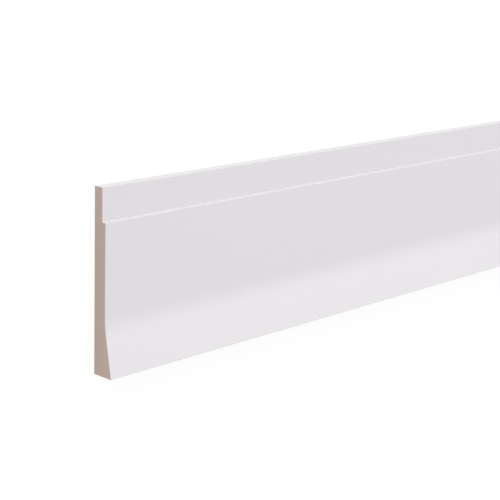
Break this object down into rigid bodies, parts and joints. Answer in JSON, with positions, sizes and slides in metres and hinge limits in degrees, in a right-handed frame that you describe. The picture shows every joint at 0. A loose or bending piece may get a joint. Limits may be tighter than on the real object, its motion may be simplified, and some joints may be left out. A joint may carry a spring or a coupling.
{
  "type": "skirting board length",
  "caption": "Straight length of painted skirting board with a stepped top band, a flat field and a flared foot; covers the joint between wall and floor.",
  "frame": {"origin": "centre of the flat wall face, on which the board lies", "axes": "+X along the board, +Y from the floor edge to the top edge, +Z from the wall face out to the room"},
  "size_m": [2.4, 0.12, 0.016],
  "materials": {
    "painted_mdf": "smooth satin white paint on the moulded face, ledge and top edge; bare tan MDF on the sawn ends, wall face and floor edge"
  },
  "bodies": {
    "root": {"skirting_board": "painted_mdf"}
  },
  "joints": []
}
